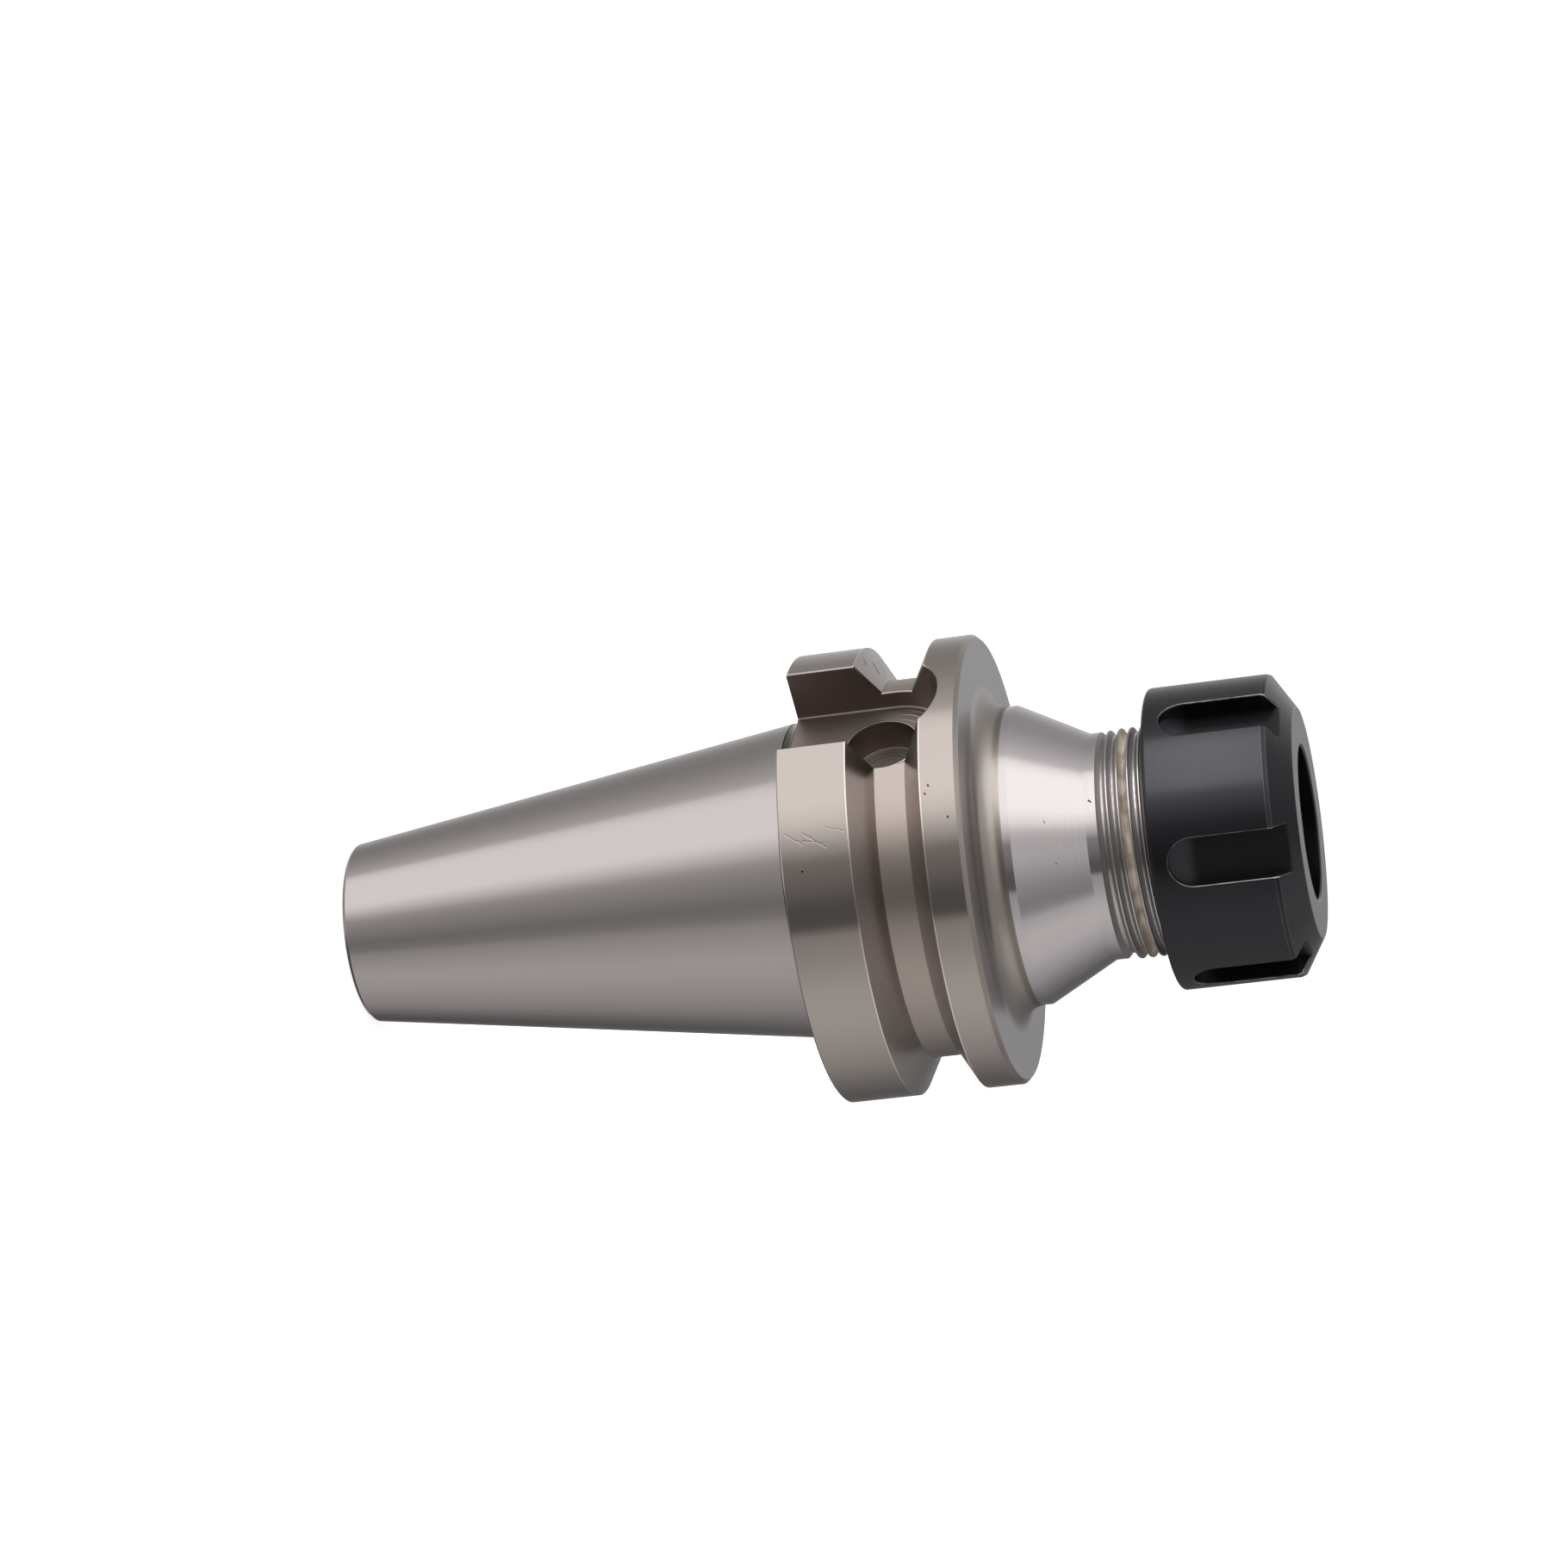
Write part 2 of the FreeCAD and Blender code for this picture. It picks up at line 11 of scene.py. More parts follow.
import bpy
import numpy as np
from mathutils import Matrix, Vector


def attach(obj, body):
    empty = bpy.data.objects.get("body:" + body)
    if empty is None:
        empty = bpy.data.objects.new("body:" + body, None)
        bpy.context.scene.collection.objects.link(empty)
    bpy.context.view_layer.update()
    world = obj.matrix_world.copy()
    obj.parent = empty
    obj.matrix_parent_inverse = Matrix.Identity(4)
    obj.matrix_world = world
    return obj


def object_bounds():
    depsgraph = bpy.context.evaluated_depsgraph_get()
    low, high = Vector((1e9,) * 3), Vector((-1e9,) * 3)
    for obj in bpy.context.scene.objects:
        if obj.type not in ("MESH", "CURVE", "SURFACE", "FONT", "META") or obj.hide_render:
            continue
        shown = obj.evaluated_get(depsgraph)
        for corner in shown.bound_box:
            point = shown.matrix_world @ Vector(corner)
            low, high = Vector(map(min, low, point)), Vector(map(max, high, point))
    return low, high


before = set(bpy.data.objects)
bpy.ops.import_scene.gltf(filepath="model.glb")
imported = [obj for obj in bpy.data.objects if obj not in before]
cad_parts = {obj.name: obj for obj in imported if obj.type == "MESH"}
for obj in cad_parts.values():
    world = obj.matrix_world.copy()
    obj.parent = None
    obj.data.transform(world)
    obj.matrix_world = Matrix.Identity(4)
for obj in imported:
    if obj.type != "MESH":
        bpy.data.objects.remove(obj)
cad_low, cad_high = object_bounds()
MM = 0.001
print("solids:", sorted(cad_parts))

# %% [markdown]
# ## The camera
# The photograph was taken with a long lens from a little in front of the nut. A camera can be
# placed by eye, but here the object gives a better way: the taper, the flange and the nut are
# round, so each edge is an ellipse in the picture, and only one camera puts all of them in
# place. It fixes the lens, the distance and how the axis lies. The part stands on its tail,
# so the camera is rolled until the axis lies across the picture, as in the photograph.

# %% Directions seen by the camera
AXIS_RISE = math.radians(6.93)
AXIS_LEAN = math.radians(11.66)
SLOT_TURN = math.radians(38.5)
AWAY = np.array([0.0, 0.0, 1.0])


def unit(vector):
    """The vector divided by its length."""
    return vector / np.linalg.norm(vector)


# Every direction is given by its parts to the right, down and away from the camera.
axis = np.array([
    math.cos(AXIS_LEAN) * math.cos(AXIS_RISE),
    -math.cos(AXIS_LEAN) * math.sin(AXIS_RISE),
    -math.sin(AXIS_LEAN)])
above = unit(np.cross(axis, AWAY))
nearer = np.cross(axis, above)
seen_slot = math.cos(SLOT_TURN) * above + math.sin(SLOT_TURN) * nearer
part_axes = np.array([-seen_slot, np.cross(axis, -seen_slot), axis])
print("seen from the camera, the part's axis points", axis.round(3))

# %% The camera
PICTURE_PX, FOCAL_PX, SENSOR_WIDTH = 1820, 5804, 36.0
CLIP_NEAR, CLIP_FAR = 0.05, 100.0
GAUGE_CENTRE = np.array([4.28, 13.55, 701.56]) * MM


def placing(right, up, back, place):
    """The 4 x 4 matrix whose columns are three directions and a place."""
    return Matrix([*np.column_stack([right, up, back, place]).tolist(), [0.0, 0.0, 0.0, 1.0]])


camera_data = bpy.data.cameras.new("camera")
camera_data.sensor_width = SENSOR_WIDTH
camera_data.lens = FOCAL_PX / PICTURE_PX * SENSOR_WIDTH
camera_data.clip_start, camera_data.clip_end = CLIP_NEAR, CLIP_FAR
camera = bpy.data.objects.new("camera", camera_data)
bpy.context.scene.collection.objects.link(camera)
camera.matrix_world = placing(
    part_axes[:, 0], -part_axes[:, 1], -part_axes[:, 2], part_axes @ -GAUGE_CENTRE)
bpy.context.scene.camera = camera
print("lens", round(camera_data.lens, 1), "mm, camera at",
      [round(value, 3) for value in camera.matrix_world.translation])

# %% [markdown]
# ## Colours and nodes
# A material can be clicked together in the shader editor, but a recipe in code can be read,
# repeated and measured. Colours are picked as sRGB hex values and turned to linear, because
# the shader works in linear light. One function adds any shader node with its settings and
# links, so that each material below reads as a short recipe.

# %% Colours and nodes


def srgb(code):
    """A hex colour as linear red, green, blue and an opaque alpha."""
    channels = np.array([int(code[i:i + 2], 16) for i in (1, 3, 5)]) / 255
    low = channels / 12.92
    high = ((channels + 0.055) / 1.055) ** 2.4
    return (*np.where(channels <= 0.04045, low, high).tolist(), 1.0)


def add(tree, kind, *inputs, **more):
    """Adds one node. Its first sockets take the inputs in their order.

    Of the rest, a name that the node has is a setting. Any other name is a socket, with _ for
    a space, or in_6 for the seventh. A socket takes a value, another socket, or a node, which
    stands for its first output.
    """
    node = tree.nodes.new("ShaderNode" + kind)
    sockets = dict(enumerate(inputs))
    for name, value in more.items():
        if hasattr(node, name):
            setattr(node, name, value)
        elif name.startswith("in_"):
            sockets[int(name.removeprefix("in_"))] = value
        else:
            sockets[name.replace("_", " ")] = value
    for key, value in sockets.items():
        if isinstance(value, bpy.types.Node):
            value = value.outputs[0]
        if isinstance(value, bpy.types.NodeSocket):
            tree.links.new(value, node.inputs[key])
        else:
            node.inputs[key].default_value = value
    return node


print("#808080 is", round(srgb("#808080")[0], 3), "in linear light")

# %% [markdown]
# ## The studio
# Steel has hardly a colour of its own: it shows the room. All faces of the holder are turned
# round one axis, so what the eye reads as bands along the taper, the flange and the neck is
# the room around that axis: a wide soft box over the piece, a dimmer one below the camera, and
# dark room between them. Lamps could stand for these boxes. A world drawn as a ring of light
# over the angle round the axis gives the same bands from a few numbers. The conical faces
# lean, so each looks at another height of the room, and each height has its own ring. The
# camera itself sees white.

# %% Light levels of the room
# Angles in degrees round the axis, from the top of the picture towards the camera.
ROOM_BESIDE = {
    -80: 0.60, -66: 0.48, -52: 0.37, -36: 0.36, -22: 0.44, -8: 0.58, 3: 0.72, 8: 1.15,
    16: 1.32, 50: 1.34, 60: 1.15, 70: 0.70, 75: 0.50, 79: 0.30, 92: 0.22, 102: 0.13,
    113: 0.12, 117: 0.40, 130: 0.47, 148: 0.62, 164: 0.64, 180: 0.56, 200: 0.42, 220: 0.24,
    236: 0.14, 252: 0.14, 268: 0.36}
ROOM_BEHIND = {
    **ROOM_BESIDE, 60: 1.00, 70: 0.58, 75: 0.50, 79: 0.46, 92: 0.36, 102: 0.28, 113: 0.34,
    117: 0.46, 130: 0.56, 148: 0.66, 164: 0.62, 180: 0.54, 220: 0.21, 236: 0.11, 252: 0.10}
ROOM_AHEAD = {
    -80: 0.60, -66: 0.50, -52: 0.42, -36: 0.42, -22: 0.52, -6: 0.72, 1: 1.20, 9: 1.42,
    44: 1.42, 58: 1.15, 66: 0.80, 74: 0.66, 90: 0.64, 102: 0.52, 118: 0.36, 134: 0.29,
    142: 0.34, 149: 0.54, 164: 0.66, 184: 0.62, 204: 0.44, 222: 0.28, 240: 0.30, 250: 0.23,
    258: 0.22, 270: 0.68}
ROOM_FAR_AHEAD = {
    -90: 0.16, -60: 0.28, -22: 0.52, 0: 0.78, 14: 0.76, 39: 0.55, 65: 0.45, 90: 0.42,
    130: 0.36, 170: 0.36, 200: 0.42, 220: 0.42, 242: 0.42, 256: 0.20}
# How far along the axis the rings change over: the sine of the direction, and its softness.
RING_STEPS = ((ROOM_BESIDE, -0.34, 0.06), (ROOM_AHEAD, 0.30, 0.20), (ROOM_FAR_AHEAD, 0.75, 0.05))
print("beside the part the room goes from", min(ROOM_BESIDE.values()), "to",
      max(ROOM_BESIDE.values()), "times white")

# %% Rings of light
LEVEL_SCALE = 2.0


def grey_ramp(tree, share, stops):
    """A line of grey levels through (share, level) stops, read at a share from 0 to 1."""
    ramp = add(tree, "ValToRGB", share)
    while len(ramp.color_ramp.elements) < len(stops):
        ramp.color_ramp.elements.new(0.5)
    for element, (at, level) in zip(ramp.color_ramp.elements, stops):
        element.position = at
        element.color = (level, level, level, 1.0)
    return ramp


def light_ring(tree, turn, levels):
    """A closed ramp round the axis: turn from 0 to 1, levels by angle from the picture's top."""
    offset = 180 - math.degrees(SLOT_TURN)
    stops = sorted(((angle + offset) % 360 / 360, level / LEVEL_SCALE)
                   for angle, level in levels.items())
    (first_at, first), (last_at, last) = stops[0], stops[-1]
    seam = first + (last - first) * first_at / (first_at + 1 - last_at)
    return grey_ramp(tree, turn, [(0.0, seam), *stops, (1.0, seam)])


print("each ring has up to", max(len(ring) for ring, _, _ in RING_STEPS) + 2, "stops")

# %% Steps, layers and turns
# The places of a Mix node's two inputs and its output, by what it mixes.
MIX_SOCKETS = {"FLOAT": (2, 3, 0), "RGBA": (6, 7, 2)}


def past(tree, value, level, soft):
    """0 below a level and 1 past it, with a smooth step of a given half width."""
    return add(tree, "MapRange", value, level - soft, level + soft,
               interpolation_type="SMOOTHSTEP")


def layered(tree, kind, base, layers):
    """A colour (RGBA) or number (FLOAT) with others laid over it, each where its mask is 1."""
    first, second, out = MIX_SOCKETS[kind]
    for mask, layer in layers:
        base = add(tree, "Mix", mask, data_type=kind,
                   **{f"in_{first}": base, f"in_{second}": layer}).outputs[out]
    return base


def full_turns(tree, angle):
    """An angle from -pi to pi as a share of a full turn, from 0 to 1."""
    return add(tree, "Math", add(tree, "Math", add(
        tree, "Math", angle, 2 * math.pi, operation="DIVIDE"), 1.0), operation="FRACT")


print("layers can be of", " or ".join(MIX_SOCKETS))

# %% The room
WHITE = srgb("#FFFFFF")

world = bpy.data.worlds.new("studio_room")
world.use_nodes = True
bpy.context.scene.world = world
room = world.node_tree
room.nodes.clear()
looking = add(room, "SeparateXYZ", add(room, "TexCoord").outputs["Generated"])
turn = full_turns(room, add(
    room, "Math", looking.outputs["Y"], looking.outputs["X"], operation="ARCTAN2"))
light = layered(room, "RGBA", light_ring(room, turn, ROOM_BEHIND), [
    (past(room, looking.outputs["Z"], height, soft), light_ring(room, turn, levels))
    for levels, height, soft in RING_STEPS])
add(room, "OutputWorld", add(
    room, "MixShader", add(room, "LightPath").outputs["Is Camera Ray"],
    add(room, "Background", light, LEVEL_SCALE),
    add(room, "Background", WHITE, 1.0)))
bpy.context.scene.view_settings.view_transform = "Standard"
print("the room has", len(room.nodes), "nodes")

# %% [markdown]
# ## The floor
# The photograph shows the piece on plain white. A curved sheet of paper under and behind it
# would give that too, but the world is white to the camera already, so a flat floor is enough.
# It glows a little for the camera alone, so that it looks white and still keeps the contact
# shadow. The steel in the photograph shows no floor, so metal doesn't mirror this one.

# %% The floor
FLOOR_HALF, FLOOR_GLOW = 12.0, 0.62
PAPER = srgb("#E6E6E6")


def new_material(name):
    """A material with an empty tree, and its tree."""
    material = bpy.data.materials.new(name)
    material.use_nodes = True
    material.node_tree.nodes.clear()
    return material, material.node_tree


floor_mesh = bpy.data.meshes.new("floor")
floor_mesh.from_pydata(
    [(x * FLOOR_HALF, y * FLOOR_HALF, cad_low.z)
     for x, y in ((-1, -1), (1, -1), (1, 1), (-1, 1))], [], [(0, 1, 2, 3)])
floor = bpy.data.objects.new("floor", floor_mesh)
bpy.context.scene.collection.objects.link(floor)
paper, tree = new_material("white_paper_floor")
path = add(tree, "LightPath")
lit = add(tree, "BsdfDiffuse", PAPER)
seen = add(tree, "AddShader", lit, add(tree, "Emission", WHITE, FLOOR_GLOW))
add(tree, "OutputMaterial", add(
    tree, "MixShader", path.outputs["Is Glossy Ray"],
    add(tree, "MixShader", path.outputs["Is Camera Ray"], lit, seen),
    add(tree, "BsdfTransparent")))
floor_mesh.materials.append(paper)
print("the floor lies", round(-cad_low.z / MM, 1), "mm below the gauge plane")

# %% [markdown]
# ## The lamps
# The room lights the steel, and two lamps do what a room can't. A box overhead lights the
# paper and draws the contact shadow; it is hidden from the steel. A narrow strip beside the
# nut draws the one clear highlight on the black oxide, which is too dark to show the room.
# A brighter room would do that as well, but it would wash out the bright steel.

# %% The lamps
OVERHEAD_PLACE, OVERHEAD_SIZE, OVERHEAD_ENERGY = (0.0, 0.0, 0.75), (0.7, 0.7), 5.0
STRIP_ANGLE, STRIP_REACH, STRIP_HEIGHT = math.radians(35) + math.pi - SLOT_TURN, 0.150, 0.043
STRIP_AIM, STRIP_SIZE, STRIP_ENERGY = (0.0, 0.0, 0.060), (0.115, 0.026), 0.028


def soft_box(name, place, aim, size, energy):
    """A rectangular lamp at a place, facing a point; its width lies across the part's axis."""
    data = bpy.data.lights.new(name, "AREA")
    data.shape = "RECTANGLE"
    data.size, data.size_y = size
    data.energy = energy
    back = unit(np.array(place) - np.array(aim))
    straight_down = abs(back[2]) > 0.99
    side = np.array([1.0, 0.0, 0.0]) if straight_down else unit(np.cross([0.0, 0.0, 1.0], back))
    lamp = bpy.data.objects.new(name, data)
    lamp.matrix_world = placing(side, np.cross(back, side), back, place)
    bpy.context.scene.collection.objects.link(lamp)
    return lamp


overhead = soft_box("overhead_softbox", OVERHEAD_PLACE, (0.0, 0.0, 0.0), OVERHEAD_SIZE,
                    OVERHEAD_ENERGY)
overhead.visible_glossy = False
strip = soft_box(
    "nut_strip_light",
    (STRIP_REACH * math.cos(STRIP_ANGLE), STRIP_REACH * math.sin(STRIP_ANGLE), STRIP_HEIGHT),
    STRIP_AIM, STRIP_SIZE, STRIP_ENERGY)
print("the strip stands", round(strip.location.length / MM), "mm from the gauge centre")

# %% [markdown]
# ## Hardened and ground steel
# The holder is one piece, yet each of its faces was finished by another process: the taper
# and the rims are ground, the neck is hard turned until it shines, the groove keeps the brown
# tint of the furnace, and the slots are milled. Each face could get a material of its own, if
# the solid were cut into faces. It is loose triangles, so one material tells the faces apart
# by where they lie on the part. A mask is a number that is 1 on a face and 0 off it, and every
# limit below is a size of the part in millimetres.

# %% Places on the part


def distance(tree, across, along):
    """The length of a step across and a step along."""
    return add(tree, "VectorMath", add(tree, "CombineXYZ", across, along),
               operation="LENGTH").outputs["Value"]


def millimetres(tree):
    """Sockets for x, y, z, the distance from the axis and the angle round it."""
    scaled = add(tree, "VectorMath", add(tree, "TexCoord").outputs["Object"],
                 Scale=1 / MM, operation="SCALE")
    x, y, z = add(tree, "SeparateXYZ", scaled).outputs
    return {"point": scaled.outputs[0], "x": x, "y": y, "z": z, "r": distance(tree, x, y),
            "turn": add(tree, "Math", y, x, operation="ARCTAN2")}


steel, tree = new_material("ground_tool_steel")
at = millimetres(tree)
print("a place has", len(at), "measures:", ", ".join(at))

# %% Masks
# Half the width of a mask's border, where it falls from 1 to 0, in millimetres.
EDGE = 0.02


def between(tree, value, low, high, soft=EDGE):
    """1 between two levels and 0 outside them, with smooth steps."""
    return add(tree, "Math", past(tree, value, low, soft), past(tree, value, high, soft),
               operation="SUBTRACT")


def combined(tree, operation, masks):
    """Masks put together two by two with one operation."""
    result, *others = masks
    for mask in others:
        result = add(tree, "Math", result, mask, operation=operation)
    return result


def both(tree, *masks):
    """The product of masks: 1 only where each of them is 1."""
    return combined(tree, "MULTIPLY", masks)


def largest(tree, *masks):
    """The largest of several masks: 1 where any of them is 1."""
    return combined(tree, "MAXIMUM", masks)


def outside(tree, mask):
    """1 where a mask is 0."""
    return add(tree, "Math", 1.0, mask, operation="SUBTRACT")


print("a mask's border is", 2 * EDGE, "mm wide")

# %% The drive slot and the chip hole
RIM_RADIUS = 31.5
SLOT_START, SLOT_CENTRE, SLOT_END = 1.3, 15.95, 24.0
SLOT_HALF, SLOT_FLOOR = 8.05, 22.6
CHIP_CENTRE, CHIP_FLOOR = 14.5, 18.0
FLOOR_DEPTH = 0.05

off_middle = add(tree, "Math", at["x"], operation="ABSOLUTE")
past_centre = add(tree, "Math", add(
    tree, "Math", at["z"], SLOT_CENTRE, operation="SUBTRACT"), 0.0, operation="MAXIMUM")
from_slot_middle = distance(tree, at["y"], past_centre)
from_chip = distance(tree, at["y"], add(
    tree, "Math", at["z"], CHIP_CENTRE, operation="SUBTRACT"))
in_slot = both(
    tree,
    between(tree, at["z"], SLOT_START, SLOT_END + 0.1),
    between(tree, from_slot_middle, -1.0, SLOT_HALF + EDGE),
    between(tree, at["r"], CHIP_FLOOR - 0.5, RIM_RADIUS - 0.2, 0.1))
on_slot_floor, on_chip_floor = (
    both(tree, in_slot, between(tree, off_middle, floor_at - FLOOR_DEPTH, floor_at + FLOOR_DEPTH))
    for floor_at in (SLOT_FLOOR, CHIP_FLOOR))
print("the slot is", 2 * SLOT_HALF, "mm wide and its floor", SLOT_FLOOR, "mm from the axis")

# %% The flange
FLANGE_REAR, GROOVE_REAR, GROOVE_FRONT, FLANGE_FRONT = 2.0, 11.6, 21.6, 27.0
GROOVE_DEEPEST, GROOVE_FLOOR_TOP = 25.0, 26.6
RELIEF_INNER, RELIEF_OUTER = 21.5, 24.4
BREAK_WIDTH, FRONT_BREAK = 0.17, 0.65

in_groove = both(
    tree, between(tree, at["z"], GROOVE_REAR - EDGE, GROOVE_FRONT + EDGE),
    between(tree, at["r"], GROOVE_DEEPEST, RIM_RADIUS - 0.1, 0.05))
on_groove_floor = both(tree, in_groove, between(
    tree, at["r"], GROOVE_DEEPEST, GROOVE_FLOOR_TOP, 0.05))
on_flange = past(tree, at["z"], 0.0, EDGE)
# The relief groove behind the flange gets a dark colour: painted shade in that recess.
relief_painted_shade = both(tree, between(tree, at["z"], 0.03, FLANGE_REAR),
                 between(tree, at["r"], RELIEF_INNER, RELIEF_OUTER, 0.1))
on_front_edge = both(
    tree, between(tree, at["z"], FLANGE_FRONT - FRONT_BREAK, FLANGE_FRONT - 0.05, 0.05),
    between(tree, at["r"], RIM_RADIUS - FRONT_BREAK - 0.05, RIM_RADIUS + 1, 0.05))
# The sharp corners of the rims were broken with a stone; the lighter colour along them is a
# painted highlight, the glint of these narrow breaks.
painted_edge_highlights = both(tree, past(tree, at["r"], RIM_RADIUS - 0.3, EDGE), largest(
    tree,
    between(tree, at["z"], FLANGE_REAR - 0.03, FLANGE_REAR + 0.2),
    between(tree, at["z"], GROOVE_REAR - BREAK_WIDTH, GROOVE_REAR + EDGE),
    between(tree, at["z"], GROOVE_FRONT - EDGE, GROOVE_FRONT + BREAK_WIDTH)))
on_face = past(tree, at["z"], FLANGE_FRONT - 0.15, 0.1)
print("the rims are", round(GROOVE_REAR - FLANGE_REAR, 1), "and",
      round(FLANGE_FRONT - GROOVE_FRONT, 1), "mm wide")

# %% The neck
FILLET_END_START, NECK_START, THREAD_START = 29.6, 30.5, 42.8

on_fillet = past(tree, at["z"], FLANGE_FRONT + 0.25, 0.2)
# A darker band where the fillet meets the neck is painted shade in that crease.
fillet_end_painted_shade = between(tree, at["z"], FILLET_END_START, NECK_START + 0.05, 0.35)
on_neck = past(tree, at["z"], NECK_START, 0.03)
on_thread = past(tree, at["z"], THREAD_START - 0.02, EDGE)
print("the neck is", round(THREAD_START - NECK_START, 1), "mm long")

# %% [markdown]
# ## Cutter marks and painted edge highlights
# The end mill left fine arcs round its own centre: near the round end of the slot and on the
# floor of the chip hole. They are drawn light, as a painted glint, and the thin light lines along
# the foot of each wall and round the mouth of the chip hole are painted highlights on those
# edges.
# Grooves in the mesh would need very many faces for lines this thin. A ramp read at the distance
# from the cutter's centre draws them, and the finish below also raises the surface along them a
# little.

# %% Cutter marks and painted edge highlights
SLOT_ARCS, SLOT_ARC_LEVELS, SLOT_ARC_HALF = (5.2, 6.3, 7.2), (0.5, 0.9, 0.6), 0.22
CHIP_ARCS, CHIP_ARC_HALF = (2.9, 3.6, 4.1, 4.5, 4.9), 0.17
CHIP_ARC_LEVELS = (0.3, 0.5, 0.6, 0.8, 1.0)
# The light lines at the foot of the wall and round the chip hole's mouth are painted highlights
# on those edges.
WALL_FOOT, CHIP_MOUTH = {7.75: 0.0, 7.88: 0.9, 8.1: 1.0}, {4.9: 1.0, 5.12: 0.9, 5.24: 0.0}


def read_at(tree, value, stops):
    """A level read off a line through value: level stops."""
    low, high = min(stops), max(stops)
    return grey_ramp(tree, add(tree, "MapRange", value, low, high),
                     [((place - low) / (high - low), level)
                      for place, level in sorted(stops.items())])


def arcs(places, levels, half_width):
    """Stops for thin bright arcs at these distances, dark between them."""
    stops = {0.0: 0.0}
    for place, level in zip(places, levels):
        stops.update({place - half_width: 0.0, place: level, place + half_width: 0.0})
    return stops


# Light cutter arcs as painted glint, and painted highlights along the foot of the walls and round
# the chip hole's mouth.
cutter_arcs_and_edge_highlights = largest(
    tree,
    both(tree, on_slot_floor, past(tree, at["z"], SLOT_CENTRE + 1.5, 2.0),
         read_at(tree, from_slot_middle, arcs(SLOT_ARCS, SLOT_ARC_LEVELS, SLOT_ARC_HALF))),
    both(tree, on_slot_floor, read_at(tree, from_slot_middle, WALL_FOOT)),
    both(tree, on_slot_floor, read_at(tree, from_chip, CHIP_MOUTH)),
    both(tree, on_chip_floor,
         read_at(tree, from_chip, arcs(CHIP_ARCS, CHIP_ARC_LEVELS, CHIP_ARC_HALF))))
print(len(SLOT_ARCS), "arcs in the slot,", len(CHIP_ARCS), "in the chip hole")

# %% [markdown]
# ## Marks of use
# Tool changers and tool racks leave scratches on the rim, nicks at its corners and a few dark
# specks of rust. They could be painted on an image, but an image would need a map of the whole
# part. Each mark is a short stroke on a turned face instead, given by where it starts and
# ends, and a little noise keeps it from being straight.

# %% Where the marks are
# Each mark has a start, an end and a half width. A place is its height, its angle in degrees
# and its radius.
SCRATCHES = (
    ((3.0, -141.6, RIM_RADIUS), (5.2, -138.7, RIM_RADIUS), 0.13),
    ((5.5, -141.2, RIM_RADIUS), (8.3, -137.6, RIM_RADIUS), 0.12),
    ((5.2, -139.8, RIM_RADIUS), (7.2, -138.8, RIM_RADIUS), 0.09),
    ((8.6, -142.4, RIM_RADIUS), (11.0, -140.8, RIM_RADIUS), 0.08))
NICKS = (
    ((12.10, 154.9, 30.63), (12.40, 156.2, 30.11), 0.20),
    ((12.75, 149.3, 29.50), (13.56, 151.5, 28.10), 0.28),
    ((12.83, 142.8, 29.37), (13.81, 144.5, 27.67), 0.24))
SPECKS = (
    ((4.8, -132.2, RIM_RADIUS), (4.9, -131.9, RIM_RADIUS), 0.13),
    ((22.8, -150.0, RIM_RADIUS), (22.9, -149.8, RIM_RADIUS), 0.10),
    ((22.3, -148.0, RIM_RADIUS), (22.4, -147.7, RIM_RADIUS), 0.10),
    ((25.2, -141.5, RIM_RADIUS), (25.3, -141.2, RIM_RADIUS), 0.10),
    ((41.9, -153.4, 15.8), (42.2, -152.2, 15.8), 0.13),
    ((36.0, -143.0, 18.5), (36.1, -142.6, 18.5), 0.07),
    ((37.0, -125.0, 18.0), (37.1, -124.6, 18.0), 0.07))
print(len(SCRATCHES), "scratches,", len(NICKS), "nicks and", len(SPECKS), "specks")

# %% Strokes
# The noise has 1.1 waves to the millimetre and moves a line by up to 0.45 mm.
WANDER_SCALE, WANDER_WIDTH = 1.1, 0.9

wander = add(tree, "Math", add(
    tree, "TexNoise", Vector=at["point"], Scale=WANDER_SCALE, Detail=2.0),
    WANDER_WIDTH, -WANDER_WIDTH / 2, operation="MULTIPLY_ADD")


def stroke(tree, at, start, end, half_width):
    """1 along a slightly wavy line on a turned face, from one place to another.

    The face is unrolled from the start: the steps round it, along the axis and outwards are
    the three parts of a vector, and the mask is 1 where that vector lies within the half
    width of the line.
    """
    height, degrees, radius = start
    end_height, end_degrees, end_radius = end
    run = np.array([math.radians(end_degrees - degrees) * (radius + end_radius) / 2,
                    end_height - height, end_radius - radius])
    round_it = add(tree, "Math", add(
        tree, "Math", at["turn"], math.radians(degrees), operation="SUBTRACT"),
        at["r"], wander, operation="MULTIPLY_ADD")
    here = add(tree, "VectorMath", add(tree, "CombineXYZ", round_it, at["z"], at["r"]),
               (0.0, height, radius), operation="SUBTRACT")
    share = add(tree, "Clamp", add(tree, "Math", add(
        tree, "VectorMath", here, run.tolist(), operation="DOT_PRODUCT").outputs["Value"],
        float(run @ run), operation="DIVIDE"))
    away = add(tree, "VectorMath", here, add(
        tree, "VectorMath", run.tolist(), Scale=share, operation="SCALE"),
        operation="DISTANCE").outputs["Value"]
    return outside(tree, past(tree, away, half_width, half_width * 0.6))


scratches, nicks, specks = (
    largest(tree, *[stroke(tree, at, *mark) for mark in marks])
    for marks in (SCRATCHES, NICKS, SPECKS))
print("the longest scratch is", round(max(end[0] - start[0] for start, end, _ in SCRATCHES), 1),
      "mm along the axis")

